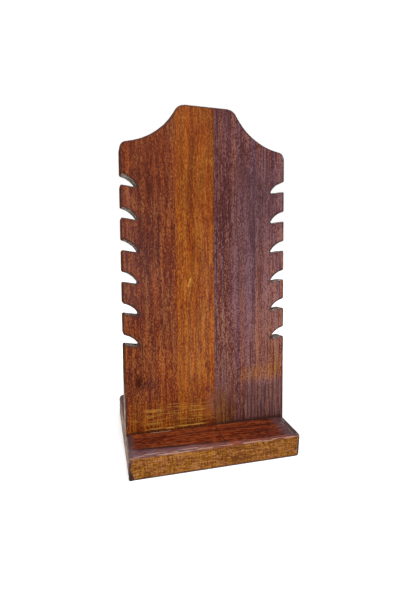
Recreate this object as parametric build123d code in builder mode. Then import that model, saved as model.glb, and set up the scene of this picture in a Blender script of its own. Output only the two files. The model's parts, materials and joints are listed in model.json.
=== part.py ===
from build123d import *
import os
from math import cos, radians, sin, tan

# A wooden display stand: a notched, neck-shaped panel that leans back in a grooved base.
# Millimetres, +Z up, +X to the stand's right as it is looked at, front towards -Y.
# The origin is the middle of the base's underside.

# Base
base_width = 179.6
base_depth = 141.0
base_height = 25.0
base_round = 4.8  # along the top edges and down the four corners
base_left_end_round = 1.0  # under the left end, which is sharper than the right
base_right_end_round = 3.6

# How the base is glued up
front_row_depth = 72.0  # front to back, of the row that carries the groove
end_joint_x = 6.2  # where the two lengths of the front row meet

# Panel
lean_angle = 6.3  # degrees from upright
panel_setback = 41.4  # from the base's front to the panel's front, along the base's top
panel_thickness = 17.0
panel_height = 334.1  # above the base's top, along the lean
panel_shoulder_width = 176.4
panel_foot_width = 179.2
panel_arris_bevel = 1.0
foot_corner_round = 2.0

# Neck and shoulders
neck_top_width = 58.4
neck_corner_round = 12.0
neck_flare_angle = 59.4  # degrees below level
neck_sweep_radius = 68.0  # or what its two sides leave room for
shoulder_drop = 40.8  # from the panel's top to the shoulder's outer corner
shoulder_fall_angle = 11.0  # degrees below level
shoulder_round = 8.0

# Where the staves of the panel meet, left to right
left_joint_x = -34.0
right_joint_x = 7.6

# Notches, six down each side
notch_count = 6
notch_pitch = 31.95
lowest_notch_height = 103.4  # of its upper lip, above the base's top
notch_depth = 16.5
notch_mouth = 10.2
notch_floor_fall = 2.4  # how much lower the floor is at its inner end
notch_sag = 2.5  # how far the curved ceiling bows up from a straight line
notch_upper_lip_round = 2.2
notch_lower_lip_round = 1.5
notch_tip_round = 0.7

# Groove in the base and the panel's foot in it
groove_depth = 12.0
groove_front_gap = 1.0  # shows as a dark line in front of the panel
groove_back_gap = 0.1

# Places worked out from the sizes
panel_front_y = -base_depth / 2 + panel_setback
front_row_back_y = -base_depth / 2 + front_row_depth
groove_width = groove_front_gap + panel_thickness + groove_back_gap
lean_forward = (0, -cos(radians(lean_angle)), sin(radians(lean_angle)))
# Local X runs along the base, local Y up the panel from the base's top, local Z out of its front.
panel_face = Plane(origin=(0, panel_front_y, base_height), x_dir=(1, 0, 0), z_dir=lean_forward)


def panel_half_width(height):
    """Half of the panel's width at a height above the base's top, along the lean."""
    share = height / (panel_height - shoulder_drop)
    return (panel_foot_width + (panel_shoulder_width - panel_foot_width) * share) / 2


# Corners of the panel's right half before rounding, in the panel's own X and Y
top_corner = (neck_top_width / 2, panel_height)
shoulder_corner = (panel_shoulder_width / 2, panel_height - shoulder_drop)
foot_corner = (panel_half_width(-groove_depth), -groove_depth)
# The flaring side of the neck and the falling line of the shoulder cross at the sweep's corner.
flare, fall = radians(neck_flare_angle), radians(shoulder_fall_angle)
shoulder_run = shoulder_corner[0] - top_corner[0]
flare_run = (shoulder_drop - shoulder_run * tan(fall)) / (tan(flare) - tan(fall))
sweep_corner = (top_corner[0] + flare_run, panel_height - flare_run * tan(flare))
# The sweep's radius leaves room on both lines for the rounds of the neck's corner and the shoulder.
flare_room = flare_run / cos(flare) - neck_corner_round * tan(flare / 2)
fall_room = (shoulder_run - flare_run) / cos(fall) - shoulder_round * tan((radians(90) - fall) / 2)
largest_sweep = 0.98 * min(flare_room, fall_room) / tan((flare - fall) / 2)

# One notch of the right side, its upper lip's outer corner at the origin and its tip inwards
with BuildSketch() as notch:
    tip = (-notch_depth, -notch_mouth - notch_floor_fall)
    with BuildLine():
        SagittaArc((0, 0), tip, -notch_sag)
        # The floor's line runs on past the panel's side, so that the cut is open there.
        Polyline(tip, (notch_depth, notch_floor_fall - notch_mouth), (notch_depth, 0), (0, 0))
    make_face()
    fillet(notch.vertices().sort_by(Axis.X)[0], notch_tip_round)

lip_heights = [lowest_notch_height + step * notch_pitch for step in range(notch_count)]

# The panel's outline, its right half mirrored to the left
with BuildSketch() as outline:
    with BuildLine():
        top_middle, foot_middle = (0, panel_height), (0, -groove_depth)
        corners = [top_middle, top_corner, sweep_corner, shoulder_corner, foot_corner, foot_middle]
        sweep = min(neck_sweep_radius, largest_sweep)
        FilletPolyline(*corners, radius=[neck_corner_round, sweep, shoulder_round, foot_corner_round])
        Line(foot_middle, top_middle)
    make_face()
    with Locations(*[(panel_half_width(height), height) for height in lip_heights]):
        add(notch.sketch, mode=Mode.SUBTRACT)
    mirror(about=Plane.YZ)


def lip_edges(blank, drop):
    """Edges through the panel's thickness at the notches' mouths, a drop below their upper lips."""
    across = blank.edges().filter_by(Axis(panel_face.origin, lean_forward))
    places = [(side * panel_half_width(height - drop), height - drop) for side in (-1, 1) for height in lip_heights]
    targets = [panel_face.from_local_coords(Vector(x, y, -panel_thickness / 2)) for x, y in places]
    return [across.sort_by_distance(target)[0] for target in targets]


# The whole panel before it is told apart into its staves
with BuildPart() as panel_blank:
    with BuildSketch(panel_face):
        add(outline.sketch)
    extrude(amount=-panel_thickness)
    fillet(lip_edges(panel_blank, 0), notch_upper_lip_round)
    fillet(lip_edges(panel_blank, notch_mouth), notch_lower_lip_round)
    front_and_back = panel_blank.faces().filter_by(panel_face).sort_by(SortBy.AREA)[-2:]
    chamfer(front_and_back.edges(), panel_arris_bevel)

# The whole base before it is told apart into its blocks
with BuildPart() as base_blank:
    with BuildSketch():
        Rectangle(base_width, base_depth)
    extrude(amount=base_height)
    fillet(base_blank.edges().filter_by(Axis.Z) + base_blank.edges().group_by(Axis.Z)[-1], base_round)
    # Seen from the front, the two lower corners are rounded too.
    with BuildSketch(Plane.XZ) as front_view:
        with Locations((0, base_height / 2)):
            Rectangle(base_width, base_height)
        fillet(front_view.vertices().group_by(Axis.Y)[0].sort_by(Axis.X)[0], base_left_end_round)
        fillet(front_view.vertices().group_by(Axis.Y)[0].sort_by(Axis.X)[-1], base_right_end_round)
    extrude(amount=base_depth / 2, both=True, mode=Mode.INTERSECT)
    # The groove runs from end to end and leans as the panel does.
    with BuildSketch(panel_face.offset(groove_front_gap)):
        Rectangle(2 * base_width, 2 * groove_depth)
    extrude(amount=-groove_width, mode=Mode.SUBTRACT)


def cut_off(blank, at, facing):
    """Keeps what lies on one side of a glue line: at is a point on it, facing points to the side kept."""
    split(blank, bisect_by=Plane(origin=at, z_dir=facing), keep=Keep.TOP)


left_joint = (left_joint_x, 0, 0)
right_joint = (right_joint_x, 0, 0)
end_joint = (end_joint_x, 0, 0)
row_joint = (0, front_row_back_y, 0)
to_left, to_right, to_front, to_back = (-1, 0, 0), (1, 0, 0), (0, -1, 0), (0, 1, 0)

with BuildPart() as panel_left_stave:
    add(panel_blank.part)
    cut_off(panel_left_stave.part, left_joint, to_left)
panel_left_stave.part.label = "panel_left_stave"

with BuildPart() as panel_middle_stave:
    add(panel_blank.part)
    cut_off(panel_middle_stave.part, left_joint, to_right)
    cut_off(panel_middle_stave.part, right_joint, to_left)
panel_middle_stave.part.label = "panel_middle_stave"

with BuildPart() as panel_right_stave:
    add(panel_blank.part)
    cut_off(panel_right_stave.part, right_joint, to_right)
panel_right_stave.part.label = "panel_right_stave"

with BuildPart() as base_front_left_block:
    add(base_blank.part)
    cut_off(base_front_left_block.part, row_joint, to_front)
    cut_off(base_front_left_block.part, end_joint, to_left)
base_front_left_block.part.label = "base_front_left_block"

with BuildPart() as base_front_right_block:
    add(base_blank.part)
    cut_off(base_front_right_block.part, row_joint, to_front)
    cut_off(base_front_right_block.part, end_joint, to_right)
base_front_right_block.part.label = "base_front_right_block"

with BuildPart() as base_rear_board:
    add(base_blank.part)
    cut_off(base_rear_board.part, row_joint, to_back)
base_rear_board.part.label = "base_rear_board"

pieces = (
    panel_left_stave,
    panel_middle_stave,
    panel_right_stave,
    base_front_left_block,
    base_front_right_block,
    base_rear_board,
)
os.makedirs("parts", exist_ok=True)
for piece in pieces:
    export_step(piece.part, f"parts/{piece.part.label}.step")
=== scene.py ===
"""Looks of the wooden stand: six worn boards with stained finishes, and the studio round them."""
import json
from functools import cache
from math import atan2, cos, pi, radians, sin, tan

import bmesh
import bpy
import numpy as np
from bpy.props import FloatProperty, FloatVectorProperty, IntProperty, PointerProperty
from mathutils import Matrix, Vector, kdtree, noise
from mathutils.bvhtree import BVHTree


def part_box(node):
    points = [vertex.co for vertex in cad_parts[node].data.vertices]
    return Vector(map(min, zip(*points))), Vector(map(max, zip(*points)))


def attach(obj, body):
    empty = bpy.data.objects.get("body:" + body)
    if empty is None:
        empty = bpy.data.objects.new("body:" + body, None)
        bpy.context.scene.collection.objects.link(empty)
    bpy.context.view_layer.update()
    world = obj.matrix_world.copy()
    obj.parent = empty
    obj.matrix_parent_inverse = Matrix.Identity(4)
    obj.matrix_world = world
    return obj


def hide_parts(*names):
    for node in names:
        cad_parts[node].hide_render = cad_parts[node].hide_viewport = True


bl_info = {
    "name": "Wooden Display Stand",
    "version": (1, 0, 0),
    "blender": (4, 5, 0),
    "location": "View3D > Sidebar > Stand",
    "description": "Worn, stained boards for a notched display stand, and a plain studio",
    "category": "Object",
}

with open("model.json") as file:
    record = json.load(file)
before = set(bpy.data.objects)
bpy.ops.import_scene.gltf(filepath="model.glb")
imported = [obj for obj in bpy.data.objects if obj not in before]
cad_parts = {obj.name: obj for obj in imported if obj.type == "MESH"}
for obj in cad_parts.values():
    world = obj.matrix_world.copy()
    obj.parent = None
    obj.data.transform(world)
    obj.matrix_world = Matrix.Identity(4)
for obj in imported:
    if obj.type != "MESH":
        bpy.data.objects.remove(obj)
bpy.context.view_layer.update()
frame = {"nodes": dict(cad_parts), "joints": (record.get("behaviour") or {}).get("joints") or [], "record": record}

MM = 0.001
TOUCHING = 0.01 * MM  # points closer than this are one point

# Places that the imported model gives, in metres
slide_axis = frame["joints"][0]["axis"]
lean = atan2(slide_axis[1], slide_axis[2])
base_low, base_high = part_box("base_rear_board")
base_top = base_high.z
base_half_width = base_high.x
base_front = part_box("base_front_left_block")[0].y
row_joint_y = base_low.y
end_joint_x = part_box("base_front_left_block")[1].x
left_joint_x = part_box("panel_left_stave")[1].x
right_joint_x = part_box("panel_right_stave")[0].x
foot_half_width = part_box("panel_right_stave")[1].x
notch_boxes = [opening["box_m"] for opening in frame["record"]["physics"]["openings"]]
middle_points = [v.co.copy() for v in frame["nodes"]["panel_middle_stave"].data.vertices]


def find_board_frame():
    """The panel's own frame: X along the stand, Y into the board, Z up its lean from the base's top."""
    front = min(c.y * cos(lean) - c.z * sin(lean) for c in middle_points)
    front_y = (front + base_top * sin(lean)) / cos(lean)
    return Matrix.Translation((0, front_y, base_top)) @ Matrix.Rotation(-lean, 4, "X")


board_frame = find_board_frame()
into_board = board_frame.inverted()
board_front_y = board_frame.to_translation().y
board_thickness = max((into_board @ point).y for point in middle_points)
highest_notch = max((into_board @ Vector(box[1])).z for box in notch_boxes)
groove_edge_y = board_front_y - 1.0 * MM  # in front of the gap before the panel's foot

# The glue planes, each as an axis and a place along it
LEFT_GLUE, RIGHT_GLUE = (0, left_joint_x), (0, right_joint_x)
END_GLUE, ROW_GLUE = (0, end_joint_x), (1, row_joint_y)

# Each board's cuts: glue planes, and the side of each on which the board lies
STAVES = {
    "panel_left_stave": [(LEFT_GLUE, -1)],
    "panel_middle_stave": [(LEFT_GLUE, 1), (RIGHT_GLUE, -1)],
    "panel_right_stave": [(RIGHT_GLUE, 1)],
}
BLOCKS = {
    "base_front_left_block": [(ROW_GLUE, -1), (END_GLUE, -1)],
    "base_front_right_block": [(ROW_GLUE, -1), (END_GLUE, 1)],
    "base_rear_board": [(ROW_GLUE, 1)],
}

# What is told of a wood's grain: sizes in millimetres, and strengths
GRAIN = ("Streak Size", "Fibre Size", "Wander", "Contrast", "Hairline Share", "Tint")
TOP_GRAIN = ((2.6, 2.6, 110.0), (1.1, 1.1, 34.0), 2.0, 1.6, 0.5, 0.5)

# Slot, stain and grain of each stave, from left to right
STAVE_LOOKS = (
    ("red_brown_wood", "left", ((3.6, 3.6, 90.0), (1.3, 1.3, 11.0), 6.0, 1.0, 0.35, 0.5)),
    ("golden_wood", "middle", ((3.6, 3.6, 75.0), (1.3, 1.3, 13.0), 9.0, 0.85, 0.3, 0.5)),
    ("dark_wood", "right", ((3.4, 3.4, 190.0), (1.2, 1.2, 10.0), 4.0, 1.2, 0.9, 0.66)),
)

# The three colours of each stain, and where it is
SHADES = {"dark": "Darkest streaks", "middle": "Main colour", "light": "Lightest streaks"}
STAINS = {
    "left": ("the left stave", (0.056, 0.007, 0.002), (0.126, 0.021, 0.004), (0.215, 0.068, 0.018)),
    "middle": ("the middle stave", (0.092, 0.012, 0.001), (0.172, 0.036, 0.001), (0.275, 0.090, 0.010)),
    # The right stave's purple is in part a painted cool reflection
    "right": ("the right stave", (0.048, 0.010, 0.009), (0.100, 0.029, 0.029), (0.176, 0.079, 0.071)),
    "top": ("the base's top", (0.046, 0.006, 0.003), (0.112, 0.013, 0.002), (0.205, 0.046, 0.012)),
    "sawn": ("the base's sawn front", (0.095, 0.026, 0.001), (0.175, 0.056, 0.003), (0.32, 0.135, 0.022)),
}


def length_property(name, description, default):
    return FloatProperty(name=name, description=description, default=default, unit="LENGTH")


def angle_property(name, description, degrees):
    return FloatProperty(name=name, description=description, default=radians(degrees), unit="ROTATION")


def number_property(name, description, default, **settings):
    return FloatProperty(name=name, description=description, default=default, min=0, **settings)


def colour_property(name, description, default):
    settings = {"size": 3, "min": 0, "max": 1, "subtype": "COLOR"}
    return FloatVectorProperty(name=name, description=description, default=default, **settings)


def stain_properties():
    """One colour property for each shade of each stain."""
    return {
        f"{stain}_{shade}": colour_property(f"{stain} {shade}".capitalize(), f"{words} of {place}", value)
        for stain, (place, *values) in STAINS.items()
        for (shade, words), value in zip(SHADES.items(), values)
    }


class StandShape(bpy.types.PropertyGroup):
    """Sizes of the worn surfaces."""

    mesh_step: length_property("Mesh step", "Size of the surface's small faces", 0.001)
    ripple_height: length_property("Ripple height", "How far planed faces rise and fall", 0.00022)
    ripple_width: length_property("Ripple width", "Size of those ripples across the grain", 0.009)
    arris_wear: length_property("Arris wear", "How deep the corners are rubbed away", 0.0005)
    ridge_height: length_property("Ridge height", "Height of saw and rasp ridges", 0.0007)
    rasp_pitch: length_property("Rasp pitch", "Distance between ridges in the notches", 0.0026)
    end_pitch: length_property("End pitch", "Distance between ridges on the base's ends", 0.0034)
    chip_depth: length_property("Chip depth", "Depth of the chips along the groove", 0.0016)
    seed: IntProperty(name="Seed", description="Changes every random mark", default=7, min=0)


class StandFinish(bpy.types.PropertyGroup):
    """Colours of the stains and of the wear on them, painted shade, shadow, reflection and highlights, and gloss.
    """

    __annotations__ = stain_properties()
    raw_dark: colour_property("Raw dark", "Dark of the bare, cut wood", (0.05, 0.035, 0.028))
    raw_light: colour_property("Raw light", "Light of the bare, cut wood", (0.46, 0.40, 0.34))
    end_dark: colour_property("End dark", "Dark of the base's bare ends", (0.045, 0.028, 0.022))
    end_light: colour_property("End light", "Light of the base's bare ends", (0.40, 0.28, 0.21))
    # Rubbed places, with painted glints along the panel's foot
    rubbed: colour_property("Rubbed", "Pale gold where the finish is rubbed through", (0.48, 0.24, 0.045))
    # Scuffs, with painted highlights on the base's round edges and the right end's corner
    scuffed_and_glint: colour_property("Scuffed", "Pale pink scuffs on the base's round edges", (0.36, 0.20, 0.13))
    glint: colour_property("Glint", "Golden saw strokes across the foot", (0.46, 0.225, 0.03))
    # Greyer stain on the panel, in part painted cool reflection; on the base's round edges and ends, painted cool
    # reflection and painted shadow
    dusk: colour_property("Dusk", "Purple grey of the worn round edges", (0.108, 0.066, 0.080))
    # Dark stain on corners, scrapes and glue lines, and also painted shade in the seam, the gap in front of the
    # panel and the groove
    dark_stain_and_shade: colour_property("Arris", "Dark stain gathered on the corners", (0.036, 0.012, 0.008))
    gloss: number_property("Roughness", "Roughness of the varnish", 0.36, max=1, subtype="FACTOR")
    sheen: number_property("Reflection", "How strongly the varnish reflects", 0.11, max=1, subtype="FACTOR")


class StandStage(bpy.types.PropertyGroup):
    """Camera, lights and floor."""

    camera_place: FloatVectorProperty(
        name="Camera place", description="Where the camera stands", default=(-0.11422, -0.39634, 0.23735),
        subtype="TRANSLATION", unit="LENGTH",
    )
    camera_turn: angle_property("Camera turn", "How far it looks towards the stand's right", 15.53)
    camera_drop: angle_property("Camera drop", "How far it looks down", 11.0)
    camera_roll: angle_property("Camera roll", "How far it is rolled to its left", 1.18)
    camera_lens: number_property("Lens", "Focal length in millimetres on a 36 mm sensor", 22.893)
    floor_colour: colour_property("Floor", "Colour of the pale floor", (0.97, 0.97, 0.97))
    room_light: number_property("Room light", "Brightness of the room all round", 0.78)
    room_gloss: number_property("Room in gloss", "Brightness of the room as polished faces mirror it", 0.45)
    key_strength: number_property("Key strength", "Strength of the broad key light", 1.35)
    key_spread: angle_property("Key spread", "How broad the key light is", 70)
    top_power: number_property("Top light", "Power of the cool light overhead", 8.0, unit="POWER")
    top_colour: colour_property("Top colour", "Colour of the light overhead", (0.84, 0.90, 1.0))


class NodeSheet:
    """A node tree being wired up, with one short method for each kind of node that the finishes use."""

    def __init__(self, tree):
        self.tree = tree

    def add(self, kind, inputs=(), **settings):
        """Adds a node, sets its settings, and links or sets its inputs, given by name or number."""
        node = self.tree.nodes.new(kind)
        for key, value in settings.items():
            setattr(node, key, value)
        self.fill(node.inputs, inputs)
        return node

    def fill(self, sockets, values):
        """Feeds several sockets, given by name or number."""
        for key, value in dict(values).items():
            self.feed(sockets[key], value)

    def feed(self, socket, value):
        """Links a socket to what feeds it, or sets its value. A colour needs only its three shares."""
        if isinstance(value, bpy.types.NodeSocket):
            self.tree.links.new(value, socket)
        elif socket.type == "RGBA":
            socket.default_value = (*value, 1)
        else:
            socket.default_value = value

    def math(self, operation, *values, clamp=False):
        return self.add("ShaderNodeMath", enumerate(values), operation=operation, use_clamp=clamp).outputs[0]

    def times(self, a, b):
        return self.math("MULTIPLY", a, b)

    def vector(self, operation, *values):
        return self.add("ShaderNodeVectorMath", enumerate(values), operation=operation).outputs[0]

    def noise(self, place, size=None, detail=2.0, roughness=0.55):
        """Noise around one half, its clumps as large as size."""
        place = place if size is None else self.vector("DIVIDE", place, size)
        inputs = {"Vector": place, "Scale": 1.0, "Detail": detail, "Roughness": roughness}
        return self.add("ShaderNodeTexNoise", inputs, noise_dimensions="3D").outputs[0]

    def spread(self, value, low, high, least=0.0):
        """Turns a value into one that runs from least, at low, to 1, at high, with soft ends."""
        inputs = {"Value": value, "From Min": low, "From Max": high, "To Min": least}
        return self.add("ShaderNodeMapRange", inputs, interpolation_type="SMOOTHSTEP").outputs[0]

    def grain(self, place, size, low=0.3, high=0.7, least=0.0, **settings):
        """Noise that is spread out between low and high."""
        return self.spread(self.noise(place, size, **settings), low, high, least)

    def layered(self, place, total, layers, **settings):
        """A total with layers of grain added, each given by its size, detail and weight."""
        for size, detail, weight in layers:
            value = self.math("SUBTRACT", self.grain(place, size, detail=detail, **settings), 0.5)
            total = self.math("MULTIPLY_ADD", value, weight, total)
        return total

    def along(self, place, axis):
        return self.add("ShaderNodeSeparateXYZ", {0: place}).outputs[axis]

    def mix(self, share, a, b, blend="MIX"):
        inputs = {0: share, 6: a, 7: b}
        return self.add("ShaderNodeMix", inputs, data_type="RGBA", blend_type=blend).outputs[2]

    def cover(self, colour, mask, over, share=1.0):
        """A colour with another one laid over it, as strongly as mask times share."""
        return self.mix(mask if share == 1.0 else self.times(mask, share), colour, over)

    def ramp(self, value, stops):
        node = self.add("ShaderNodeValToRGB", {0: value})
        while len(node.color_ramp.elements) < len(stops):
            node.color_ramp.elements.new(0.5)
        for element, (place, colour) in zip(node.color_ramp.elements, stops):
            element.position = place
            element.color = (*colour, 1)
        return node.outputs[0]

    def attribute(self, name):
        return self.add("ShaderNodeAttribute", attribute_name=name).outputs["Fac"]

    def group(self, tree, inputs):
        return self.add("ShaderNodeGroup", inputs, node_tree=tree).outputs


def new_group(name, inputs, outputs):
    """A shader node group: the sheet to wire it with, what it is given, and what it gives out.

    inputs holds usual values: a number, three numbers for a size, or None for a colour. Besides
    them every group is given a Vector, which is a place in millimetres.
    """
    tree = bpy.data.node_groups.new(name, "ShaderNodeTree")
    for label, value in {"Vector": (0.0, 0.0, 0.0), **inputs}.items():
        kind = "Color" if value is None else "Vector" if isinstance(value, tuple) else "Float"
        socket = tree.interface.new_socket(name=label, in_out="INPUT", socket_type=f"NodeSocket{kind}")
        if value is not None:
            socket.default_value = value
    for label in outputs:
        kind = "Color" if label == "Color" else "Float"
        tree.interface.new_socket(name=label, in_out="OUTPUT", socket_type=f"NodeSocket{kind}")
    sheet = NodeSheet(tree)
    return sheet, sheet.add("NodeGroupInput").outputs, sheet.add("NodeGroupOutput").inputs


@cache
def wood_group():
    """Stained wood whose grain runs along Z: streaks, fibres, flecks, blotches and dark hairlines."""
    inputs = dict(zip(GRAIN, ((4.0, 4.0, 90.0), (1.5, 1.5, 20.0), 6.0, 1.0, 0.5, 0.5)))
    inputs |= {"Seed": 0.0, "Tone": 0.0, "Dark": None, "Middle": None, "Light": None}
    sheet, given, out = new_group("stained_wood", inputs, ("Color", "Fibres", "Hairlines"))
    shift = sheet.add("ShaderNodeCombineXYZ", {axis: given["Seed"] for axis in range(3)}).outputs[0]
    place = sheet.vector("ADD", given["Vector"], shift)
    bend = sheet.math("SUBTRACT", sheet.noise(place, (46, 46, 95), detail=1.0), 0.5)
    bend = sheet.times(bend, given["Wander"])
    place = sheet.vector("ADD", place, sheet.add("ShaderNodeCombineXYZ", {0: bend, 1: bend}).outputs[0])
    fleck_size = sheet.vector("MULTIPLY", given["Fibre Size"], (0.75, 0.75, 0.2))
    layers = (
        (given["Streak Size"], 3.0, 0.46),
        (given["Fibre Size"], 3.0, 0.48),
        (fleck_size, 1.0, 0.72),
        ((17, 17, 34), 2.0, 0.16),
    )
    total = sheet.layered(place, 0.0, layers)
    tone = sheet.math("MULTIPLY_ADD", given["Tone"], 0.5, 0.5)
    tone = sheet.math("MULTIPLY_ADD", total, given["Contrast"], tone)
    colour = sheet.mix(sheet.spread(tone, 0.05, 0.52), given["Dark"], given["Middle"])
    colour = sheet.mix(sheet.spread(tone, 0.48, 0.95), colour, given["Light"])
    brightness = sheet.math("MULTIPLY_ADD", given["Tone"], 0.85, 1.0)
    colour = sheet.mix(1.0, colour, brightness, blend="MULTIPLY")
    # Streaks are warmer and cooler too, not only lighter and darker.
    elsewhere = sheet.vector("ADD", place, (70, 30, 10))
    hue = sheet.grain(elsewhere, given["Streak Size"], 0.36, 0.64)
    tint = sheet.mix(hue, (1.28, 1.06, 0.48), (0.76, 0.94, 1.44))
    colour = sheet.mix(given["Tint"], colour, tint, blend="MULTIPLY")
    hair = sheet.times(sheet.grain(place, (1.3, 1.3, 70), 0.58, 0.68, detail=1.0), given["Hairline Share"])
    fibres = sheet.math("MULTIPLY_ADD", total, 0.6, 0.5, clamp=True)
    sheet.fill(out, {"Color": sheet.mix(hair, colour, given["Dark"]), "Fibres": fibres, "Hairlines": hair})
    return sheet.tree


@cache
def arris_group():
    """How much dark stain has gathered on a worn corner, broken up by noise."""
    sheet, given, out = new_group("worn_arris", {"Edge": 0.0, "Amount": 1.0}, ("Dark",))
    patchy = sheet.grain(given["Vector"], (3.5, 3.5, 9), 0.28, 0.62, 0.35, detail=3.0)
    dark = sheet.times(sheet.spread(given["Edge"], 0.15, 0.75), patchy)
    sheet.feed(out["Dark"], sheet.math("MULTIPLY", dark, given["Amount"], clamp=True))
    return sheet.tree


@cache
def bare_group():
    """Colour of bare, rough-cut wood: pale ridges with dark dirt between them."""
    inputs = {"Ridge Step": (2.6, 40.0, 2.6), "Dark": None, "Light": None}
    sheet, given, out = new_group("bare_wood", inputs, ("Color", "Height"))
    stepped = sheet.vector("DIVIDE", given["Vector"], given["Ridge Step"])
    ridge = sheet.grain(stepped, None, 0.40, 0.60, detail=4.0, roughness=0.7)
    fine = sheet.grain(sheet.vector("MULTIPLY", stepped, (2.7, 1.6, 2.7)), None, 0.38, 0.62)
    speckle = sheet.noise(given["Vector"], (1.1, 1.1, 1.1))
    share = sheet.math("MULTIPLY_ADD", fine, 0.34, sheet.times(ridge, 0.52))
    share = sheet.math("MULTIPLY_ADD", speckle, 0.30, share, clamp=True)
    sheet.fill(out, {"Color": sheet.mix(share, given["Dark"], given["Light"]), "Height": share})
    return sheet.tree


@cache
def stroke_group():
    """Thin strokes as long and broad as Stroke Size. There are more of them where Share is larger."""
    inputs = {"Stroke Size": (22.0, 22.0, 0.9), "Share": 0.5}
    sheet, given, out = new_group("saw_strokes", inputs, ("Mask",))
    edge = sheet.math("SUBTRACT", 0.80, sheet.times(given["Share"], 0.45))
    above = sheet.math("SUBTRACT", sheet.noise(given["Vector"], given["Stroke Size"]), edge)
    sheet.feed(out["Mask"], sheet.spread(above, 0.0, 0.07))
    return sheet.tree


@cache
def groove_group():
    """Dark grooves scraped down the board, a little uneven in place and strength."""
    inputs = {"Spacing": 4.3, "Share": 0.5}
    sheet, given, out = new_group("scraped_grooves", inputs, ("Mask",))
    place = given["Vector"]
    turns = sheet.times(sheet.math("DIVIDE", sheet.along(place, 0), given["Spacing"]), 2 * pi)
    turns = sheet.math("MULTIPLY_ADD", sheet.noise(place, (7, 7, 70)), 9.0, turns)
    uneven = sheet.times(sheet.noise(place, (5, 5, 45)), 2.0)
    share = sheet.math("SUBTRACT", sheet.times(given["Share"], uneven), 1.0)
    above = sheet.math("ADD", sheet.math("SINE", turns), share)
    broken = sheet.grain(place, (2.2, 2.2, 9), 0.36, 0.54, 0.2)
    sheet.feed(out["Mask"], sheet.times(sheet.spread(above, 0.0, 0.35), broken))
    return sheet.tree


def new_material(name):
    """A material, the sheet to wire it with, and the inputs of its Principled surface."""
    material = bpy.data.materials.new(name)
    material.use_nodes = True
    surface = next(n for n in material.node_tree.nodes if n.type == "BSDF_PRINCIPLED")
    return material, NodeSheet(material.node_tree), surface.inputs


def local_millimetres(sheet, matrix):
    """The piece's Object coordinates in another frame, in millimetres."""
    inputs = {"Location": matrix.to_translation(), "Rotation": matrix.to_euler(), "Scale": (MM, MM, MM)}
    inputs["Vector"] = sheet.add("ShaderNodeTexCoord").outputs["Object"]
    return sheet.add("ShaderNodeMapping", inputs, vector_type="TEXTURE").outputs[0]


def near_plane(sheet, along, place, half_width):
    """1 on a plane at a place in metres and 0 beyond half_width millimetres from it."""
    gap = sheet.math("ABSOLUTE", sheet.math("SUBTRACT", along, place / MM))
    return sheet.spread(gap, half_width, half_width * 0.3)


def add_wood(sheet, place, finish, stain, seed, grain):
    """The stained wood group with a stain's three colours."""
    inputs = {"Vector": place, "Seed": seed, "Tone": sheet.attribute("tone"), **dict(zip(GRAIN, grain))}
    inputs |= {shade.title(): getattr(finish, f"{stain}_{shade}") for shade in SHADES}
    # Both fade where the wood is calm.
    for name in ("Contrast", "Tint"):
        inputs[name] = sheet.math("MULTIPLY_ADD", sheet.attribute("calm"), -inputs[name], inputs[name])
    return sheet.group(wood_group(), inputs)


def stroke_mask(sheet, place, share, size):
    """Where strokes lie. share names the painted mark that says how many there are."""
    inputs = {"Vector": place, "Stroke Size": size, "Share": sheet.attribute(share)}
    return sheet.group(stroke_group(), inputs)["Mask"]


def groove_mask(sheet, place, share, spacing):
    """Where grooves lie. share names the painted mark that says how many there are."""
    inputs = {"Vector": place, "Spacing": spacing, "Share": sheet.attribute(share)}
    return sheet.group(groove_group(), inputs)["Mask"]


def wear_and_shade_colour(sheet, place, colour, finish, arris_amount, ridge_step, raw):
    """Covers a stain with what wear and handling did, and with painted shade, shadow and reflection. raw holds the
    dark and the light of a bare cut.
    """
    patchy = sheet.grain(place, (1.4, 1.4, 8.0), 0.34, 0.6, 0.4)
    colour = sheet.cover(colour, sheet.times(sheet.attribute("dusk"), patchy), finish.dusk)
    colour = sheet.cover(colour, sheet.attribute("smudge"), finish.dark_stain_and_shade)
    cut = {"Vector": place, "Ridge Step": ridge_step, "Dark": raw[0], "Light": raw[1]}
    bare = sheet.group(bare_group(), cut)
    colour = sheet.cover(colour, sheet.attribute("bare"), bare["Color"])
    corner = {"Vector": place, "Edge": sheet.attribute("edge"), "Amount": arris_amount}
    return sheet.cover(colour, sheet.group(arris_group(), corner)["Dark"], finish.dark_stain_and_shade), bare["Height"]


def finish_surface(sheet, surface, finish, wood, bare_height, bare, cuts):
    """Varnish gloss that is lost on bare wood, and the small relief of fibres, hairlines and cuts."""
    fibres = wood["Fibres"]
    rough = sheet.math("MULTIPLY_ADD", fibres, 0.12, finish.gloss)
    rough = sheet.math("ADD", rough, sheet.times(bare, 0.42), clamp=True)
    sheen = sheet.math("MULTIPLY_ADD", sheet.attribute("matt"), -finish.sheen, finish.sheen)
    height = sheet.math("SUBTRACT", fibres, sheet.times(wood["Hairlines"], 0.6))
    height = sheet.math("SUBTRACT", height, sheet.times(cuts, 0.7))
    height = sheet.math("MULTIPLY_ADD", sheet.times(bare_height, bare), 2.0, height)
    bump = sheet.add("ShaderNodeBump", {"Height": height, "Strength": 0.5, "Distance": 0.3 * MM})
    sheet.fill(surface, {"Roughness": rough, "Specular IOR Level": sheen, "Normal": bump.outputs[0]})


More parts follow.
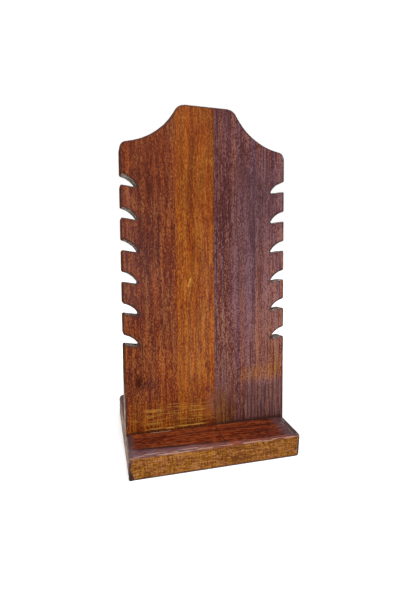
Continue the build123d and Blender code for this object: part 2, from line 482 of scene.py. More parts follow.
def stave_material(name, stain, grain, seed, finish):
    """Stained and varnished stave of the panel, its grain running up the lean."""
    material, sheet, surface = new_material(name)
    place = local_millimetres(sheet, board_frame)
    wood = add_wood(sheet, place, finish, stain, seed, grain)
    colour = sheet.mix(sheet.attribute("gold"), wood["Color"], (1.14, 1.0, 0.22), blend="MULTIPLY")
    # Pale saw strokes across the foot's left half, dark scrapes down its right half, rubbed places and painted
    # glints
    colour = sheet.cover(colour, stroke_mask(sheet, place, "strokes", (24.0, 24.0, 0.8)), finish.glint, 0.5)
    scrapes = groove_mask(sheet, place, "scrapes", 4.3)
    colour = sheet.cover(colour, scrapes, finish.dark_stain_and_shade, 0.95)
    colour = sheet.cover(colour, stroke_mask(sheet, place, "rubbed", (16.0, 16.0, 1.3)), finish.rubbed, 0.8)
    # The glue lines
    across = sheet.along(place, 0)
    left_line = sheet.times(near_plane(sheet, across, left_joint_x, 0.4), 0.15)
    glue = sheet.math("MULTIPLY_ADD", near_plane(sheet, across, right_joint_x, 0.7), 0.4, left_line)
    colour = sheet.cover(colour, glue, finish.dark_stain_and_shade)
    raw = (finish.raw_dark, finish.raw_light)
    colour, bare_height = wear_and_shade_colour(sheet, place, colour, finish, 0.85, (2.1, 40.0, 2.1), raw)
    # Rasp marks that run slantwise through the notches, from front to back
    turn = {"Vector": place, "Angle": radians(-37)}
    slanted = sheet.add("ShaderNodeVectorRotate", turn, rotation_type="Z_AXIS").outputs[0]
    slanted = sheet.vector("MULTIPLY", slanted, (1, 0.12, 1))
    rasped = groove_mask(sheet, slanted, "rasped", 4.8)
    sheet.feed(surface["Base Color"], sheet.cover(colour, rasped, finish.raw_dark, 0.95))
    cuts = sheet.math("MAXIMUM", scrapes, rasped)
    finish_surface(sheet, surface, finish, wood, bare_height, sheet.attribute("bare"), cuts)
    return material


def base_material(name, seed, finish):
    """The base's blocks: red-brown planed top, golden sawn front, bare ends, grain along the stand."""
    material, sheet, surface = new_material(name)
    place = local_millimetres(sheet, Matrix.Rotation(pi / 2, 4, "Y"))
    wood = add_wood(sheet, place, finish, "top", seed, TOP_GRAIN)
    # The sawn front: coarse flecks crossed by fine upright saw marks
    is_sawn = sheet.attribute("sawn")
    flecks = (((1.2, 1.2, 1.5), 2.0, 0.68), ((9, 9, 16), 2.0, 0.30))
    saw_marks = (((12, 12, 1.1), 2.0, 0.46), ((1.0, 1.0, 8), 1.0, 0.54))
    tone = sheet.layered(place, sheet.attribute("tone"), flecks + saw_marks, roughness=0.65)
    tone = sheet.math("ADD", tone, 0.5)
    sawn = sheet.ramp(tone, ((0.1, finish.sawn_dark), (0.5, finish.sawn_middle), (0.9, finish.sawn_light)))
    hue = sheet.grain(place, (5, 5, 9), 0.38, 0.62, detail=4.0, roughness=0.7)
    tint = sheet.mix(hue, (1.03, 1.03, 0.45), (1.0, 0.94, 2.0))
    colour = sheet.mix(is_sawn, wood["Color"], sheet.mix(1.0, sawn, tint, blend="MULTIPLY"))
    # The joint between the front row's two lengths
    glue = near_plane(sheet, sheet.along(place, 2), end_joint_x, 0.8)
    colour = sheet.cover(colour, sheet.times(glue, sheet.math("SUBTRACT", 1.0, is_sawn)), finish.dark_stain_and_shade, 0.85)
    raw = (finish.end_dark, finish.end_light)
    colour, bare_height = wear_and_shade_colour(sheet, place, colour, finish, 0.8, (3.0, 30.0, 3.0), raw)
    # Pale scuffs that are partly painted highlights, and fine scratches
    scuffs_and_glints = stroke_mask(sheet, place, "rubbed", (1.5, 1.5, 17.0))
    scratches = stroke_mask(sheet, place, "scratched", (0.9, 9.0, 1.2))
    colour = sheet.cover(colour, scuffs_and_glints, finish.scuffed_and_glint, 0.7)
    sheet.feed(surface["Base Color"], sheet.cover(colour, scratches, finish.raw_light, 0.3))
    rough_cut = sheet.math("MAXIMUM", sheet.attribute("bare"), sheet.times(is_sawn, 0.6))
    bare_height = sheet.times(bare_height, 0.7)
    finish_surface(sheet, surface, finish, wood, bare_height, rough_cut, sheet.times(tone, 0.4))
    return material


# What the relief tree is given, by kind
RELIEF_INPUTS = {
    "Geometry": ("Geometry",),
    "Float": ("Ripple Height", "Arris Wear", "Ridge Height", "Seed"),
    "Vector": ("Ripple Size", "Ridge Size"),
    "Material": ("Finish",),
}


@cache
def relief_tree():
    """Moves a surface along its normals: planing ripples, rubbed corners, ridges where it is rough cut."""
    tree = bpy.data.node_groups.new("worn_board", "GeometryNodeTree")
    for kind, labels in RELIEF_INPUTS.items():
        for label in labels:
            tree.interface.new_socket(name=label, in_out="INPUT", socket_type=f"NodeSocket{kind}")
    tree.interface.new_socket(name="Geometry", in_out="OUTPUT", socket_type="NodeSocketGeometry")
    sheet = NodeSheet(tree)
    given, out = sheet.add("NodeGroupInput").outputs, sheet.add("NodeGroupOutput").inputs
    seed = sheet.add("ShaderNodeCombineXYZ", {0: given["Seed"], 1: given["Seed"]}).outputs[0]
    place = sheet.add("GeometryNodeInputPosition").outputs[0]
    total = 0.0
    for size, height, mask, detail in (
        (given["Ripple Size"], given["Ripple Height"], "free", 2.0),
        (given["Ridge Size"], given["Ridge Height"], "ridged", 1.0),
        ((4 * MM, 4 * MM, 9 * MM), given["Arris Wear"], "edge", 2.0),
    ):
        painted = sheet.add("GeometryNodeInputNamedAttribute", {"Name": mask}, data_type="FLOAT").outputs[0]
        moved = sheet.vector("ADD", sheet.vector("DIVIDE", place, size), seed)
        value = sheet.times(sheet.math("SUBTRACT", sheet.noise(moved, detail=detail), 0.5), height)
        total = sheet.math("MULTIPLY_ADD", value, painted, total)
    normal = sheet.add("GeometryNodeInputNormal").outputs[0]
    offset = sheet.add("ShaderNodeVectorMath", {0: normal, "Scale": total}, operation="SCALE").outputs[0]
    moved = sheet.add("GeometryNodeSetPosition", {"Geometry": given["Geometry"], "Offset": offset})
    real = sheet.add("GeometryNodeRealizeInstances", {"Geometry": moved.outputs[0]})
    dressed = sheet.add("GeometryNodeSetMaterial", {"Geometry": real.outputs[0], "Material": given["Finish"]})
    sheet.feed(out["Geometry"], dressed.outputs[0])
    return tree


def new_object(name, data):
    """An object that is in the scene."""
    thing = bpy.data.objects.new(name, data)
    bpy.context.scene.collection.objects.link(thing)
    return thing


def mesh_with_modifier(mesh, kind, settings, inputs=()):
    """A new mesh: the given one with a modifier applied. inputs are a node tree's, by identifier."""
    holder = new_object("holder", mesh)
    modifier = holder.modifiers.new("work", kind)
    for name, value in settings.items():
        setattr(modifier, name, value)
    for identifier, value in dict(inputs).items():
        modifier[identifier] = value
    graph = bpy.context.evaluated_depsgraph_get()
    made = bpy.data.meshes.new_from_object(holder.evaluated_get(graph))
    bpy.data.objects.remove(holder)
    return made


def joined_shell(nodes, matrix, glue_planes):
    """One closed shell of several glued CAD nodes, in matrix's frame, without the glued faces inside."""

    def is_glued(face):
        return any(all(abs(v.co[axis] - place) < TOUCHING for v in face.verts) for axis, place in glue_planes)

    shell = bmesh.new()
    for name in nodes:
        shell.from_mesh(frame["nodes"][name].data)
    bmesh.ops.remove_doubles(shell, verts=shell.verts, dist=TOUCHING)
    bmesh.ops.delete(shell, geom=[f for f in shell.faces if is_glued(f)], context="FACES")
    bmesh.ops.transform(shell, matrix=matrix.inverted(), verts=shell.verts)
    mesh = bpy.data.meshes.new("shell")
    shell.to_mesh(mesh)
    shell.free()
    return mesh


def fine_mesh(mesh, step):
    """The shell with its surface cut into small, even faces, whose points lie on the shell again."""
    fine = mesh_with_modifier(mesh, "REMESH", {"mode": "VOXEL", "voxel_size": step})
    shell = BVHTree.FromPolygons([v.co for v in mesh.vertices], [p.vertices for p in mesh.polygons])
    for point in fine.vertices:
        point.co = shell.find_nearest(point.co)[0]
    return fine


def relief_mesh(mesh, shape, ripple_size, ridge_size):
    """The mesh with the relief tree applied."""
    tree = relief_tree()
    identifiers = {item.name: item.identifier for item in tree.interface.items_tree if item.in_out == "INPUT"}
    values = {
        "Ripple Height": shape.ripple_height,
        "Ripple Size": ripple_size,
        "Arris Wear": shape.arris_wear,
        "Ridge Height": shape.ridge_height,
        "Ridge Size": ridge_size,
        "Seed": float(shape.seed),
    }
    inputs = {identifiers[name]: value for name, value in values.items()}
    return mesh_with_modifier(mesh, "NODES", {"node_group": tree}, inputs)


def split_board(mesh, name, cuts):
    """The part of a mesh that is one board, with its cut faces closed."""
    board = bmesh.new()
    board.from_mesh(mesh)
    for (axis, place), side in cuts:
        point, kept = Vector(), Vector()
        point[axis], kept[axis] = place, side
        everything = [*board.verts, *board.edges, *board.faces]
        plane = {"plane_co": point, "plane_no": kept}
        bmesh.ops.bisect_plane(board, geom=everything, clear_inner=True, dist=1e-7, **plane)
        rim = [e for e in board.edges if e.is_boundary]
        bmesh.ops.triangle_fill(board, edges=rim, use_beauty=True, use_dissolve=False)
    bmesh.ops.recalc_face_normals(board, faces=board.faces)
    part = bpy.data.meshes.new(name)
    board.to_mesh(part)
    board.free()
    return part


def finish_piece(mesh, node, matrix, body, material):
    """Puts a finished mesh in the scene in its node's place."""
    mesh.transform(matrix)
    piece = new_object(f"{node}_wood", mesh)
    mesh.materials.clear()
    mesh.materials.append(material)
    mesh.shade_smooth()
    mesh.set_sharp_from_angle(angle=radians(50))
    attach(piece, body)
    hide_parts(node)


def points_and_normals(mesh):
    """Places in millimetres and normals of a mesh's points, one row each."""
    places = np.empty(len(mesh.vertices) * 3, np.float32)
    mesh.vertices.foreach_get("co", places)
    normals = np.empty(len(mesh.vertices) * 3, np.float32)
    mesh.vertex_normals.foreach_get("vector", normals)
    return places.reshape(-1, 3).astype(float) / MM, normals.reshape(-1, 3).astype(float)


def move_points(mesh, places):
    """Puts a mesh's points at new places in millimetres."""
    mesh.vertices.foreach_set("co", (places * MM).astype(np.float32).ravel())
    mesh.update()


def paint(mesh, **marks):
    """Stores each mark as one number for each point, for the finishes and the relief to read by its name."""
    for name, values in marks.items():
        layer = mesh.attributes.new(name, "FLOAT", "POINT")
        layer.data.foreach_set("value", np.clip(values, -1, 1).astype(np.float32))


def smooth(value, low, high):
    """0 at low, 1 at high, with a soft start and end."""
    share = np.clip((value - low) / (high - low), 0, 1)
    return share * share * (3 - 2 * share)


def near(value, middle, far, close):
    """1 within close of the middle, 0 beyond far from it."""
    return smooth(np.abs(value - middle), far, close)


def blob(x, y, x_middle, y_middle, x_radius, y_radius):
    """A soft round patch: 1 at its middle, falling away to nothing at about two radii."""
    return np.exp(-(((x - x_middle) / x_radius) ** 2) - ((y - y_middle) / y_radius) ** 2)


def blobs(x, y, *patches):
    """Soft round patches added up. Each has a strength, its middle and its radii."""
    return sum(strength * blob(x, y, *place) for strength, *place in patches)


def fades(x, y, *patches):
    """Soft-edged fields added up. Each has a strength, and where along x and y it starts and is full."""
    return sum(strength * smooth(x, *across) * smooth(y, *up) for strength, across, up in patches)


def only_marked(share):
    """The share of strokes, or -1 where there is next to none, because strokes begin to show at 0."""
    return np.where(share > 0.02, share, -1)


def wavy(values, size, seed):
    """Smooth noise along one line of numbers, from about -1 to 1."""
    table = [noise.noise(Vector((k * 0.5, seed, 0.3))) for k in range(int(np.ptp(values) / size * 2) + 4)]
    return np.interp((values - values.min()) / size * 2, range(len(table)), table)


def closeness(places, chosen, reach):
    """How close each point is to the nearest of the chosen ones: 1 there, 0 beyond about twice the reach."""
    tree = kdtree.KDTree(int(chosen.sum()))
    for number, place in enumerate(places[chosen]):
        tree.insert(place, number)
    tree.balance()
    gap = np.array([tree.find(place)[2] for place in places])
    return np.exp(-((gap / reach) ** 2))


def paint_panel(mesh):
    """Where the panel is worn, bare, ridged, smudged, scraped or painted with shade, shadow and glints, in its own
    frame and in millimetres.
    """
    places, normals = points_and_normals(mesh)
    x, _, z = places.T
    _, ny, nz = normals.T
    flat = np.abs(ny)
    front = smooth(-ny, 0.3, 0.8)
    edge = closeness(places, (flat > 0.3) & (flat < 0.9), 1.4)
    wall = 1 - smooth(flat, 0.45, 0.85)
    inside = smooth(foot_half_width / MM - np.abs(x), 2.4, 3.4) * (z < highest_notch / MM + 12)
    side, in_notch = wall * (1 - inside), wall * inside
    ceiling, floor = in_notch * smooth(-nz, 0.1, 0.5), in_notch * smooth(nz, 0.1, 0.5)
    floor_edge = edge * inside * front * smooth(nz, 0.25, 0.5) * (x > 0)
    low_side = side * smooth(z, 60, 35)
    above_base = smooth(z, -0.5, 1.5)
    clean_edge = (1 - 0.7 * ceiling) * (1 - 0.8 * low_side) * (1 - 0.8 * floor_edge)
    cut_floor = 0.85 * np.maximum(floor, 0.8 * floor_edge)
    paint(
        mesh,
        free=above_base,
        edge=edge * above_base * clean_edge,
        ridged=in_notch * (1 - edge),
        rasped=(0.35 * ceiling + 0.9 * np.maximum(floor, floor_edge)) * above_base,
        bare=np.maximum(0.95 * ceiling, cut_floor) + 0.9 * low_side,
        matt=np.maximum(wall, 0.8 * blob(x, z, -73, 53, 7, 9)),
    )
    # The knot and stains, painted shade along the seam where the foot goes into the base, and darker cut faces:
    # the notch floors, the sides higher up and the notch ceilings below 250 mm
    stains = ((0.10, -74, 53.4, 4.2, 6), (0.10, -60, 50, 12, 6), (0.12, 66, 31, 24, 9), (0.14, 34, 33, 9, 6))
    seam_shade = fades(x, z, (0.75, (-40, 50), (3.2, 0.4)), (0.6, (-30, -60), (1.4, 0.3)))
    upper_ceiling = ceiling * smooth(z, 250, 240) * (0.12 + 0.5 * smooth(np.abs(x), 84, 76))
    cuts = 0.12 * floor + 0.55 * side * smooth(z, 40, 60) + upper_ceiling
    paint(mesh, smudge=blobs(x, z, *stains) * front + seam_shade + cuts)
    # The foot is cracked on the right and brushed on the left.
    cracked = smooth(z, 52, 30) * smooth(x, 34, 46)
    cracked += 0.8 * smooth(z, 34, 12) * smooth(x, 10, 22) * smooth(x, 46, 34)
    paint_strokes(mesh, x, z, front, cracked)
    paint_stain(mesh, x, z, front, cracked)


def paint_strokes(mesh, x, z, front, cracked):
    """The panel's saw strokes, scrapes, rubbed places and painted glints. cracked is where its foot has dark
    cracks.
    """
    strokes = 0.62 * near(z, 15, 20, 8) * smooth(x, 16, 2) * smooth(x, -112, -62)
    brushed = smooth(z, 28, 10) * smooth(x, 10, -10)
    scrapes = 0.05 + 0.60 * cracked + 0.25 * cracked * smooth(z, 26, 8) + 0.18 * brushed
    # A pale line along the foot's lower edge, a spot on the right foot and pale bits among the cracks: rubbed wood
    # with painted glints
    rubbed = 0.84 * near(z, 1.9, 1.8, 0.6) * near(x, -36, 54, 30)
    rubbed += 0.95 * blob(x, z, 41.2, 15.8, 1.8, 0.9) + 0.22 * cracked * smooth(z, 20, 6)
    # One short scratch on the middle stave
    scratch_x = 0.35 * (z - 151) - 21.3
    rubbed += 0.9 * near(x, scratch_x, 1.6, 0.7) * near(z, 156, 6.5, 4.5)
    paint(mesh, strokes=strokes * front, scrapes=scrapes * front, rubbed=only_marked(rubbed) * front)


# Patches where the panel's stain is greyer or more golden
DUSK_PATCHES = (
    (0.14, -66, 170, 28, 50), (0.10, -14, 82, 18, 48), (0.14, 0, 155, 9, 60),
    (0.3, 5, 24, 6, 16), (0.06, -66, 50, 9, 7),
)
GOLD_PATCHES = (
    (0.35, 82, 66, 9, 13), (0.35, -22, 270, 14, 50), (0.3, -44, 60, 14, 40), (0.7, 24, 10, 9, 11),
    (0.45, 14, 115, 7, 50), (0.3, 22, 80, 8, 40), (0.3, 34, 32, 12, 20),
)
# Broad lights and darks: the left stave and its knot, then the middle stave, then the right one. The darks at
# (-60, 268) and (-68, 188) on the left stave and at (52, 286) on the right are painted shadow of a necklace.
TONE_AND_SHADOW_PATCHES = (
    (-0.15, -60, 268, 15, 30), (-0.24, -68, 188, 12, 16), (-0.10, -76, 216, 8, 16), (0.12, -84, 235, 6, 50),
    (0.26, -45, 70, 11, 40), (-0.06, -72, 90, 12, 22), (-0.15, -80, 205, 8, 10), (-0.20, -66, 50, 7, 4),
    (-0.44, -74.5, 53.4, 3.8, 6.2), (-0.08, -84, 54, 8, 16),
    (0.12, -27, 190, 6, 80), (0.12, 0, 120, 30, 70), (-0.08, -14, 225, 6, 60), (0.20, -12, 78, 14, 48),
    (-0.04, 20, 235, 14, 70), (-0.14, 50, 262, 16, 12), (0.14, 84, 280, 10, 24), (0.24, 15, 120, 10, 60),
    (0.08, 20, 290, 12, 40), (0.16, 56, 110, 8, 45), (-0.22, 39, 152, 6, 22), (-0.12, 52, 286, 11, 11),
)
TONE_FIELDS = (
    (0.26, (46, 76), (255, 205)), (-0.14, (60, 76), (125, 95)), (0.26, (20, 46), (225, 135)),
    (0.02, (14, -8), (20, 10)), (0.10, (-20, -40), (20, 10)),
)


def paint_stain(mesh, x, z, front, cracked):
    """Where the panel's stain is greyer, more golden, calmer, lighter or darker, with painted cool reflection on
    the right stave and painted shadow of a necklace.
    """
    dusk = blobs(x, z, *DUSK_PATCHES) + fades(x, z, (0.14, (34, 46), (49, 42)))
    # Greyer across the right stave, in part a painted cool reflection
    dusk += 0.24 * smooth(x, 16, 50) * near(z, 190, 110, 70)
    dusk += 0.14 * smooth(x, -66, -80) * near(z, 190, 85, 50)
    gold = blobs(x, z, *GOLD_PATCHES)
    gold += fades(x, z, (1, (30, 10), (48, 22)), (0.2, (40, 52), (46, 30)))
    gold += 0.35 * smooth(z, 90, 50) * smooth(x, -64, -44) * smooth(x, 16, 2)
    gold += 0.25 * smooth(x, 40, 60) * smooth(z, 150, 100) * smooth(z, 44, 54)
    gold += 0.4 * smooth(x, 28, 40) * near(z, 52, 12, 5) + 0.3 * smooth(x, -62, -84)
    gold += 0.3 * smooth(x, 77, 86) * near(z, 165, 70, 40)
    calm = 0.5 * smooth(x, 7, 9) * smooth(x, 34, 24) * smooth(z, 52, 36)
    calm = (calm + 0.25 * smooth(x, 16, 46) * smooth(z, 150, 110)) * (1 - cracked)
    calm += 0.2 * smooth(z, 190, 270) + 0.45 * cracked
    paint(mesh, dusk=dusk * front, gold=gold * front, calm=calm)
    tone = blobs(x, z, *TONE_AND_SHADOW_PATCHES) + fades(x, z, *TONE_FIELDS)
    tone -= 0.10 * smooth(z, 130, 170) * smooth(x, 4, 12) * smooth(x, 44, 30)
    tone -= 0.16 * smooth(x, 40, 54) * smooth(x, 84, 72) * near(z, 165, 120, 90)
    # The front of the foot is darker, most of all where it goes into the base.
    foot = 0.02 + 0.10 * smooth(x, -40, -28) * smooth(x, 12, 6) + 0.20 * smooth(x, 34, 60)
    sole = 0.17 * smooth(z, 12, 5) * smooth(x, -40, -30) * smooth(x, 12, 4)
    lights = blobs(x, z, (0.20, 15, 16, 9, 22), (-0.10, 0, 24, 20, 9))
    paint(mesh, tone=tone + (lights - foot * smooth(z, 48, 36) - sole) * front)


def paint_base(mesh):
    """Where the base is worn, bare, sawn or smudged, and where shade, shadow, reflection and highlights are
    painted on it, in millimetres.
    """
    places, normals = points_and_normals(mesh)
    x, y, z = places.T
    nx, ny, nz = normals.T
    half, front_y, top = base_half_width / MM, base_front / MM, base_top / MM
    groove_y = groove_edge_y / MM
    steep = np.abs(nx)
    edge = closeness(places, (steep > 0.4) & (steep < 0.9), 1.6) * np.where(z < top - 6, 0.6, 0.45)
    # The groove is left as it is, so that the panel's foot goes in.
    face_y = board_front_y / MM + (z - top) * tan(lean)
    in_groove = (y > face_y - 2.2) & (y < face_y + board_thickness / MM / cos(lean) + 0.9)
    in_groove &= (z > 8) & (z < top - 0.6)
    free = np.where(in_groove, 0.0, 1.0)
    ends = smooth(steep, 0.6, 0.9)
    facing, above = smooth(-ny, 0.88, 0.99), smooth(nz, 0.90, 0.99)
    sawn = (facing + smooth(ny, 0.88, 0.99)) * (1 - ends) * free
    worn_foot = smooth(y, front_y + 9, front_y + 3) * smooth(z, top - 4, top - 9)
    bare = ends * (0.95 - 0.85 * worn_foot)
    paint(mesh, edge=edge * free, ridged=ends * free, bare=bare, free=free, sawn=sawn)
    # The round front edge: purple grey that is painted cool reflection, pale along its lower side where rubbed
    # wood has painted highlights, a dark crack along its upper side
    band = (1 - facing) * (1 - above) * (y < front_y + 8) * (z > top - 7) * (ny < 0) * (1 - ends)
    turn = np.degrees(np.arctan2(-ny, nz))
    left_end, right_end = smooth(x, -half + 9, -half + 2), smooth(x, half - 24, half - 8)
    up_face = smooth(nz, 0.5, 0.9)
    # The crack starts further from the edge at the left, and the strip in front of it is worn and carries the same
    # painted reflection.
    crack_y = front_y + 8.0 - 0.06 * (x + 34) + 0.8 * wavy(x, 9.0, 5.5)
    strip = smooth(y, crack_y + 0.3, crack_y - 0.3) * above * smooth(x, 12, -20)
    patchy = 0.72 + 0.28 * wavy(x, 5.0, 2.2)
    dusk = (band + strip) * patchy * (0.25 + 0.75 * smooth(x, 40, -50))
    # Purple grey on the top's round ends: painted cool reflection, and painted shadow at the left end
    dusk += 0.8 * (left_end + right_end) * up_face
    # Pale bands on the round edge and a pale line on the right end's round corner: painted highlights over rubbed
    # wood
    rubbed = (0.8 * near(turn, 60, 20, 8) + 0.7 * near(turn, 32, 14, 6) * smooth(x, 20, -30)) * band
    rubbed += 0.9 * near(nx, 0.08, 0.07, 0.03) * (z < top - 5) * (x > 0)
    # The front's lower left corner is worn, with a rubbed line beside a darker line.
    worn_x = -half + 0.9 + 0.38 * np.clip(12 - z, 0, 12)
    rubbed += 0.9 * near(x, worn_x + 1.0, 1.0, 0.4) * smooth(z, 11, 8) * (y < front_y + 6)
    chips = near(y, groove_y - 2.5, 1.3, 0.5) * smooth(z, top - 1.5, top - 0.3)
    rubbed += chips * (0.95 * blob(x, y, -50, groove_y, 15, 9) + 0.3 * smooth(x, 10, -70))
    scratched = 0.5 * smooth(x, half - 20, half - 10) * up_face * (y < front_y + 36)
    paint(mesh, dusk=dusk, rubbed=only_marked(rubbed), scratched=only_marked(scratched))
    # Dirt in the crack, painted shade in the gap in front of the panel, painted shadow and scuffs on the top near
    # the ends, and the ends darker towards the front
    crack = near(y, crack_y, 2.3, 1.0) * above * near(x, -34, 56, 40)
    crack *= 0.45 + 0.55 * smooth(wavy(x, 16.0, 2.9), -0.2, 0.2)
    crevice_shade = smooth(y, groove_y - 2.3, groove_y - 1.1) * (y < groove_y + 4) * smooth(z, top - 2.5, top - 0.5)
    scuff_and_shadow = 0.8 * near(y, front_y + 30, 20, 8) * left_end + 0.75 * smooth(x, half - 20, half - 6)
    ends_darker = ends * (0.08 + 0.5 * smooth(y, 20, front_y + 25))
    # Darker along the front's lower edge, its worn left corner and the front of the ends, with painted shade where
    # the right end's round corner turns away
    outline = np.maximum(smooth(z, 2.0, 1.0), smooth(x, worn_x + 0.9, worn_x - 0.3) * (y < front_y + 6))
    outline = np.maximum(outline, smooth(nx, 0.14, 0.3)) * smooth(z, top - 3, top - 8)
    dark = crack + crevice_shade + scuff_and_shadow * up_face + ends_darker + (outline + worn_foot * ends) * (y < front_y + 9)
    tone = blobs(x, z, (-0.25, 19, 11, 9, 9), (0.06, -40, 12, 40, 20)) * facing
    tone -= (0.10 * blob(x, y, 70, -40, 26, 14) + 0.08 * smooth(x, 10, 50)) * above
    # The groove's inside is painted dark as shade
    paint(mesh, smudge=dark + np.where(in_groove, 0.9, 0), tone=tone)


def square_corner(mesh):
    """Makes the base's front left corner squarer towards its foot, where it is less worn than at the top."""
    places, _ = points_and_normals(mesh)
    room = 5.0
    inner = np.array((-base_half_width / MM + room, base_front / MM + room))
    inward = (places[:, :2] - inner) / -room
    near_corner = (inward > 0).all(axis=1)
    across, height = inward[near_corner], places[near_corner, 2]
    power = 2 + 10 * smooth(height, 20, 6)
    reach = np.hypot(*across.T) / (across.T**power).sum(axis=0) ** (1 / power)
    places[near_corner, :2] = inner - room * across * reach[:, None]
    move_points(mesh, places)


def chip_groove(mesh, depth):
    """Breaks small chips out of the groove's front edge."""
    places, _ = points_and_normals(mesh)
    x, y, z = places.T
    top, edge_y = base_top / MM, groove_edge_y / MM
    at_edge = np.exp(-(((y - edge_y) / 1.5) ** 2)) * smooth(z, top - 3, top - 0.5) * (y < edge_y + 0.6)
    ragged = np.clip(wavy(x, 7.0, 3.1), 0, 1) + np.clip(wavy(x, 2.4, 8.7), 0, 1) * 0.6
    stronger = 0.45 + 0.9 * np.exp(-(((x + 42) / 18) ** 2))
    places[:, 2] -= at_edge * ragged * stronger * depth / MM
    move_points(mesh, places)


class StandMakePanel(bpy.types.Operator):
    """Makes the panel's three staves in worn, stained wood."""

    bl_idname = "stand.make_panel"
    bl_label = "Make Panel"

    def execute(self, context):
        shape, finish = context.scene.stand_shape, context.scene.stand_finish
        panel = fine_mesh(joined_shell(STAVES, board_frame, (LEFT_GLUE, RIGHT_GLUE)), shape.mesh_step)
        paint_panel(panel)
        width, pitch = shape.ripple_width, shape.rasp_pitch
        rasp_length = 0.04
        worn = relief_mesh(panel, shape, (width, width, width * 5), (pitch, rasp_length, pitch))
        seed = shape.seed
        for (node, cuts), (slot, stain, grain) in zip(STAVES.items(), STAVE_LOOKS):
            material = stave_material(node + "_finish", stain, grain, seed, finish)
            finish_piece(split_board(worn, node, cuts), node, board_frame, "panel", material)
            seed += 40
        return {"FINISHED"}


class StandMakeBase(bpy.types.Operator):
    """Makes the base's three blocks in worn, stained wood."""

    bl_idname = "stand.make_base"
    bl_label = "Make Base"

    def execute(self, context):
        shape, finish = context.scene.stand_shape, context.scene.stand_finish
        upright = Matrix.Identity(4)
        base = fine_mesh(joined_shell(BLOCKS, upright, (ROW_GLUE, END_GLUE)), shape.mesh_step)
        square_corner(base)
        paint_base(base)
        chip_groove(base, shape.chip_depth)
        width = shape.ripple_width
        saw_mark_size = (0.05, 0.035, shape.end_pitch)
        worn = relief_mesh(base, shape, (width * 4, width, width), saw_mark_size)
        seed = shape.seed
        for node, cuts in BLOCKS.items():
            material = base_material(node + "_finish", seed, finish)
            finish_piece(split_board(worn, node, cuts), node, upright, "base", material)
            seed += 25
        return {"FINISHED"}


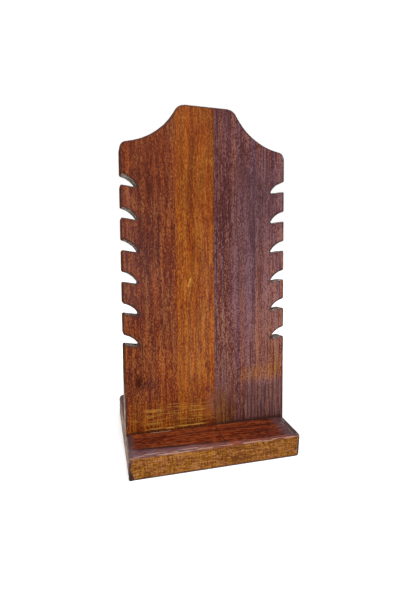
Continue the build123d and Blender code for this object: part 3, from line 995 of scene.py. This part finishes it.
class StandMakeStage(bpy.types.Operator):
    """Makes the floor, the soft lights, the room and the camera."""

    bl_idname = "stand.make_stage"
    bl_label = "Make Stage"

    def execute(self, context):
        stage = context.scene.stand_stage
        self.make_floor(stage)
        self.make_room(context.scene, stage)
        self.make_lights(stage)
        self.make_camera(context.scene, stage)
        return {"FINISHED"}

    def make_floor(self, stage):
        reach = 4.0
        floor_mesh = bpy.data.meshes.new("floor")
        corners = [(-reach, -reach, 0), (reach, -reach, 0), (reach, reach, 0), (-reach, reach, 0)]
        floor_mesh.from_pydata(corners, [], [(0, 1, 2, 3)])
        floor = new_object("floor", floor_mesh)
        material, sheet, surface = new_material("floor_finish")
        place = sheet.add("ShaderNodeTexCoord").outputs["Object"]
        mottle = sheet.noise(sheet.vector("MULTIPLY", place, (9, 9, 9)), detail=4.0)
        shade = [tuple(channel * share for channel in stage.floor_colour) for share in (0.98, 1.0)]
        # A little glow, for the camera alone, keeps the floor pale beside the stand.
        glow = sheet.times(sheet.add("ShaderNodeLightPath").outputs["Is Camera Ray"], 0.15)
        looks = {
            "Base Color": sheet.ramp(mottle, ((0.3, shade[0]), (0.7, shade[1]))),
            "Roughness": 0.9,
            "Specular IOR Level": 0.1,
            "Emission Color": (1, 1, 1),
            "Emission Strength": glow,
        }
        sheet.fill(surface, looks)
        floor_mesh.materials.append(material)

    def make_room(self, scene, stage):
        """A white room: pure white to the camera, softer as a light, and dimmer still in polished faces."""
        world = bpy.data.worlds.new("room")
        scene.world = world
        world.use_nodes = True
        sheet = NodeSheet(world.node_tree)
        sky = next(n for n in world.node_tree.nodes if n.type == "BACKGROUND")
        ray = sheet.add("ShaderNodeLightPath").outputs
        dimming = stage.room_gloss - stage.room_light
        soft = sheet.math("MULTIPLY_ADD", ray["Is Glossy Ray"], dimming, stage.room_light)
        light = sheet.math("MAXIMUM", soft, ray["Is Camera Ray"])
        sheet.fill(sky.inputs, {"Strength": light, "Color": (1, 1, 1)})
        scene.view_settings.view_transform = "Standard"

    def make_lights(self, stage):
        sun = bpy.data.lights.new("key_light", "SUN")
        sun.energy = stage.key_strength
        sun.angle = stage.key_spread
        self.hang(sun, Vector((-0.5, -1.2, 1.3)))
        lamp = bpy.data.lights.new("top_light", "AREA")
        lamp.energy = stage.top_power
        lamp.color = stage.top_colour
        lamp.size = 0.7
        self.hang(lamp, Vector((0.15, -0.25, 1.2)))

    def hang(self, lamp, place):
        """Puts a light in the scene, pointing at the middle of the stand."""
        holder = new_object(lamp.name, lamp)
        holder.location = place
        aim = Vector((0, base_front / 2, 0.15))
        holder.rotation_euler = (aim - place).to_track_quat("-Z", "Y").to_euler()

    def make_camera(self, scene, stage):
        lens = bpy.data.cameras.new("camera")
        lens.lens = stage.camera_lens
        lens.clip_start = 0.01
        camera = new_object("camera", lens)
        turn = Matrix.Rotation(-stage.camera_turn, 4, "Z")
        drop = Matrix.Rotation(pi / 2 - stage.camera_drop, 4, "X")
        roll = Matrix.Rotation(stage.camera_roll, 4, "Z")
        camera.matrix_world = Matrix.Translation(stage.camera_place) @ turn @ drop @ roll
        scene.camera = camera


class StandPanel(bpy.types.Panel):
    """Sizes, colours and buttons of the stand."""

    bl_idname = "VIEW3D_PT_stand"
    bl_label = "Display Stand"
    bl_space_type = "VIEW_3D"
    bl_region_type = "UI"
    bl_category = "Stand"

    def draw(self, context):
        layout = self.layout
        for group_name in SETTINGS:
            settings = getattr(context.scene, group_name)
            column = layout.column(align=True)
            for name in settings.bl_rna.properties.keys():
                if name not in ("rna_type", "name"):
                    column.prop(settings, name)
        for operator in OPERATORS:
            layout.operator(operator.bl_idname)


SETTINGS = {"stand_shape": StandShape, "stand_finish": StandFinish, "stand_stage": StandStage}
OPERATORS = (StandMakePanel, StandMakeBase, StandMakeStage)
CLASSES = (*SETTINGS.values(), *OPERATORS, StandPanel)


def register():
    for item in CLASSES:
        bpy.utils.register_class(item)
    for name, item in SETTINGS.items():
        setattr(bpy.types.Scene, name, PointerProperty(type=item))


def unregister():
    for name in SETTINGS:
        delattr(bpy.types.Scene, name)
    for item in reversed(CLASSES):
        bpy.utils.unregister_class(item)


def clear_default_scene():
    """Removes the cube, light and camera that a new scene starts with."""
    for name in ("Cube", "Light", "Camera"):
        thing = bpy.data.objects.get(name)
        if thing is not None:
            bpy.data.objects.remove(thing)


def main():
    register()
    clear_default_scene()
    bpy.ops.stand.make_stage()
    bpy.ops.stand.make_panel()
    bpy.ops.stand.make_base()


if __name__ == "__main__":
    main()
